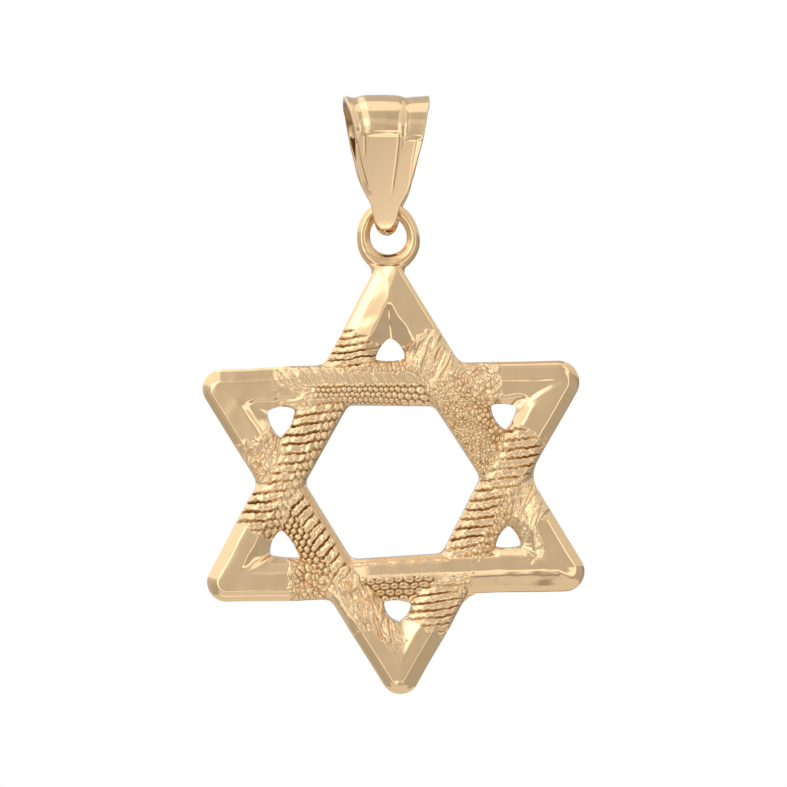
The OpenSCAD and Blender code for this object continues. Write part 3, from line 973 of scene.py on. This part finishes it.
def folded_bail(material):
    """The fluted strip, folded over the chain channel and closed under the eye."""
    mesh = bmesh.new()
    layers = finish_layers(mesh)
    columns, rows = BAIL_GRID
    made = bmesh.ops.create_grid(mesh, x_segments=columns, y_segments=rows, size=1)["verts"]
    for vert in made:
        # The front leaf gets two thirds of the columns
        share = (vert.co.x + 1) / 2
        t = share * 0.75 if share < 2 / 3 else 0.5 + (share - 2 / 3) * 1.5
        y, z, ny, nz = strip_path(t)
        back = t > 0.5
        drop = -z - (0.24 * smooth(3.9, 5.2, -z) if back else 0.0)
        half = along(BAIL_EDGE, drop) * (1 + 0.04 * back * smooth(4.2, 4.8, -z))
        x, depth = sheet_place((vert.co.y + 1) / 2, half)
        u = clamp(x / half, -1, 1)
        # The crease across the strip lies lower on the right flute
        crease = z + 0.24 * smooth(0.3, 0.44, u)
        leaf, hollow = leaf_face(u, -z)
        on_fold = smooth(-0.46, -0.1, crease)
        out = mix(leaf, fold_face(u, -z), on_fold)
        out -= CREASE_STEP * (smooth(-0.1, -0.2, crease) + smooth(-0.36, -0.46, crease))
        out -= depth * mix(1.0, 0.6, smooth(4.7, 5.3, -z))
        vert.co = (x + leaf_aside(back, -z), y + ny * out, z + nz * out)
        # Painted shade inside the sheet, most of all at its top, which also leaves it duller; the engraved
        # lines on the face get painted shade too
        inside_shade = 0.45 + 0.45 * smooth(-0.5, 0.8, z) - 0.35 * smooth(-4.3, -5.0, z)
        vert[layers[0]] = max(clamp(0.9 * hollow) * (1 - on_fold), inside_shade * smooth(0.6, 1.0, depth / SHEET))
        vert[layers[1]] = 1.0
    bmesh.ops.remove_doubles(mesh, verts=made, dist=0.00002)
    bmesh.ops.holes_fill(mesh, edges=[e for e in mesh.edges if e.is_boundary], sides=0)
    bmesh.ops.recalc_face_normals(mesh, faces=mesh.faces)
    place = Matrix.Rotation(BAIL_TURN, 4, "Z") @ Matrix.Scale(MM, 4)
    return finish_piece(mesh, "folded_bail", place, material, "bail")


# Finishes

class Shade:
    """A socket with arithmetic, so that an expression on values adds its Math nodes."""

    def __init__(self, tree, socket):
        self.tree, self.socket = tree, socket

    def math(self, operation, first, second):
        node = self.tree.nodes.new("ShaderNodeMath")
        node.operation = operation
        for value, socket in zip((first, second), node.inputs):
            if isinstance(value, Shade):
                self.tree.links.new(value.socket, socket)
            else:
                socket.default_value = value
        return Shade(self.tree, node.outputs[0])

    def __add__(self, other):
        return self.math("ADD", self, other)

    __radd__ = __add__

    def __sub__(self, other):
        return self.math("SUBTRACT", self, other)

    def __rsub__(self, other):
        return self.math("SUBTRACT", other, self)

    def __mul__(self, other):
        return self.math("MULTIPLY", self, other)

    __rmul__ = __mul__


class Bench:
    """Adds nodes to one tree: a node's type, its settings, then values or links for its sockets by name."""

    def __init__(self, tree):
        self.tree = tree
        tree.nodes.clear()

    def node(self, kind, settings=None, output=0, **sockets):
        made = self.tree.nodes.new("ShaderNode" + kind)
        for key, value in (settings or {}).items():
            if key == "stops":
                ramp = made.color_ramp
                while len(ramp.elements) < len(value):
                    ramp.elements.new(0.5)
                for stop, (place, colour) in zip(ramp.elements, value):
                    stop.position, stop.color = place, (*colour, 1)
            else:
                setattr(made, key, value)
        for key, value in sockets.items():
            socket = made.inputs[int(key[1:])] if key[1:].isdigit() else made.inputs[key.replace("_", " ")]
            if isinstance(value, Shade):
                self.tree.links.new(value.socket, socket)
            else:
                socket.default_value = value
        return None if output is None else Shade(self.tree, made.outputs[output])


def gold(name, bright, deep, gloss, grain, grain_depth):
    """Yellow gold, darker with painted shade and duller in its hollows, finer where it is polished."""
    made = bpy.data.materials.new(name)
    made.use_nodes = True
    bench = Bench(made.node_tree)
    # Object coordinates, in metres
    where = bench.node("TexCoord", output=3)
    broad = bench.node("TexNoise", Vector=where, Scale=380.0, Detail=3.0, Roughness=0.5)
    fine = bench.node("TexNoise", Vector=where, Scale=grain, Detail=4.0, Roughness=0.6)
    # This attribute holds painted shade: it darkens the colour towards deep in grooves, gaps and inside the
    # bail, and roughens it
    hollow = bench.node("Attribute", {"attribute_name": "hollow"}, output=2)
    polish = bench.node("Attribute", {"attribute_name": "polish"}, output=2)
    # Painted shade in the hollows, with a faint random mottle on top
    shade_and_mottle = hollow * 0.9 + broad * 0.12
    shine = gloss + (1.0 - polish) * 0.07 + hollow * 0.16 + fine * 0.04
    height = fine * (1.12 - polish)
    colour = bench.node("ValToRGB", {"stops": ((0.1, bright), (0.95, deep))}, Fac=shade_and_mottle)
    relief = bench.node("Bump", Strength=0.6, Distance=grain_depth, Height=height)
    surface = bench.node("BsdfPrincipled", Base_Color=colour, Metallic=1.0, Roughness=shine, Normal=relief)
    bench.node("OutputMaterial", output=None, Surface=surface)
    return made


# The studio

# The photograph's side in pixels, its pixels in a millimetre of the object, and the pixel of its middle,
# counted to the right and up from the middle of the bail's fold
PHOTO_SIDE = 787
PIXELS_PER_MM = 17.95
VIEW_MIDDLE = (7.5, -262.2)
LENS = 135
SENSOR = 36


def camera():
    data = bpy.data.cameras.new("front_camera")
    data.lens = LENS
    data.sensor_width = SENSOR
    data.clip_start, data.clip_end = 0.01, 5
    eye = bpy.data.objects.new("front_camera", data)
    right, up = (pixels / PIXELS_PER_MM * MM for pixels in VIEW_MIDDLE)
    eye.location = (right, -PHOTO_SIDE / PIXELS_PER_MM * MM / SENSOR * LENS, up)
    eye.rotation_euler = (math.radians(90), 0, 0)
    bpy.context.scene.collection.objects.link(eye)
    bpy.context.scene.camera = eye


def studio():
    """A light tent: pale all round, brighter overhead and round the camera, plain white behind the object."""
    world = bpy.data.worlds.new("light_tent")
    bpy.context.scene.world = world
    world.use_nodes = True
    bench = Bench(world.node_tree)
    way = bench.node("TexCoord", output=0)

    def share(part, low, high):
        """0 where a part of the direction is low, 1 where it is high."""
        value = bench.node("VectorMath", {"operation": "DOT_PRODUCT"}, output=1, i0=way, i1=part)
        return bench.node("MapRange", {"interpolation_type": "SMOOTHSTEP"},
                          Value=value, From_Min=low, From_Max=high)

    def spot(x, y, z, inner, outer):
        """1 within inner degrees of a direction, 0 beyond outer degrees."""
        length = math.sqrt(x * x + y * y + z * z)
        toward = (x / length, y / length, z / length)
        return share(toward, math.cos(math.radians(outer)), math.cos(math.radians(inner)))

    left, right = share((-1, 0, 0), 0.08, 0.2), share((1, 0, 0), 0.27, 0.38)
    upper = share((0, 0, 1), 0.1, 0.28)
    light = 0.39 + 0.1 * share((-1, 0, 0.4), -0.9, 0.9) + 0.18 * share((-1, 0, 0.5), -0.4, 0.4)
    light = light + 0.15 * spot(0, -1, 0, 9, 30)
    # A ring of lamps round the camera, weaker at its top and at its foot
    ring = spot(0, -1, 0, 33, 41) - spot(0, -1, 0, 19, 25)
    gaps = 0.65 * spot(0.08, -0.85, 0.5, 18, 28) + 0.62 * spot(0, -0.7, -0.72, 6, 14)
    light = light + ring * (0.85 - gaps) + 0.3 * spot(-0.45, -0.88, 0.12, 8, 22)
    # Two tall lamps above to the sides, and one overhead
    light = light + 0.55 * left * upper + 0.42 * right * upper + 0.54 * spot(0, -0.105, 0.995, 17, 25)
    light = light - 0.06 * spot(0.2, -0.3, -1, 30, 62) - 0.14 * spot(-0.7, -0.5, -0.5, 15, 35)
    light = light + 0.16 * spot(0.7, -0.55, -0.4, 20, 45) + 0.1 * spot(0.2, -0.93, -0.34, 5, 13)
    seen = bench.node("LightPath", output=0)
    tent = bench.node("Background", Color=(1, 1, 1, 1), Strength=light)
    white = bench.node("Background", Color=(1, 1, 1, 1), Strength=1.0)
    both = bench.node("MixShader", i0=seen, i1=tent, i2=white)
    bench.node("OutputWorld", output=None, Surface=both)


def floor():
    """A pale disc well below the pendant, in metres."""
    radius, level = 0.16, -0.18
    mesh = bmesh.new()
    bmesh.ops.create_circle(mesh, cap_ends=True, segments=96, radius=radius)
    bmesh.ops.translate(mesh, verts=mesh.verts, vec=(0, 0, level))
    pale = bpy.data.materials.new("pale_floor")
    pale.use_nodes = True
    shader = pale.node_tree.nodes["Principled BSDF"]
    shader.inputs["Base Color"].default_value = (0.8, 0.8, 0.8, 1)
    shader.inputs["Roughness"].default_value = 0.8
    add_object(mesh, "pale_floor", pale)


bpy.context.scene.view_settings.view_transform = "Standard"
camera()
studio()
floor()
# deep is the colour of the painted shade in hollows; the ring and its solder carry no painted shade
cast_gold = gold("star_gold", bright=(0.87, 0.62, 0.36), deep=(0.37, 0.215, 0.095),
                 gloss=0.09, grain=7000, grain_depth=0.00002)
ring_gold = gold("ring_gold", bright=(0.85, 0.59, 0.32), deep=(0.7, 0.44, 0.21),
                 gloss=0.08, grain=6000, grain_depth=0.00001)
polished_bail = gold("bail_gold", bright=(0.88, 0.63, 0.37), deep=(0.34, 0.2, 0.09),
                     gloss=0.06, grain=5000, grain_depth=0.00001)
for piece in (
    woven_bars("bars_upper_left", (0, 1), cast_gold),
    woven_bars("bars_lower_left", (2, 3), cast_gold),
    woven_bars("bars_right", (4, 5), cast_gold),
    polished_points(cast_gold),
    soldered_ring(ring_gold),
):
    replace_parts(piece, "star")
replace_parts(folded_bail(polished_bail), "bail")
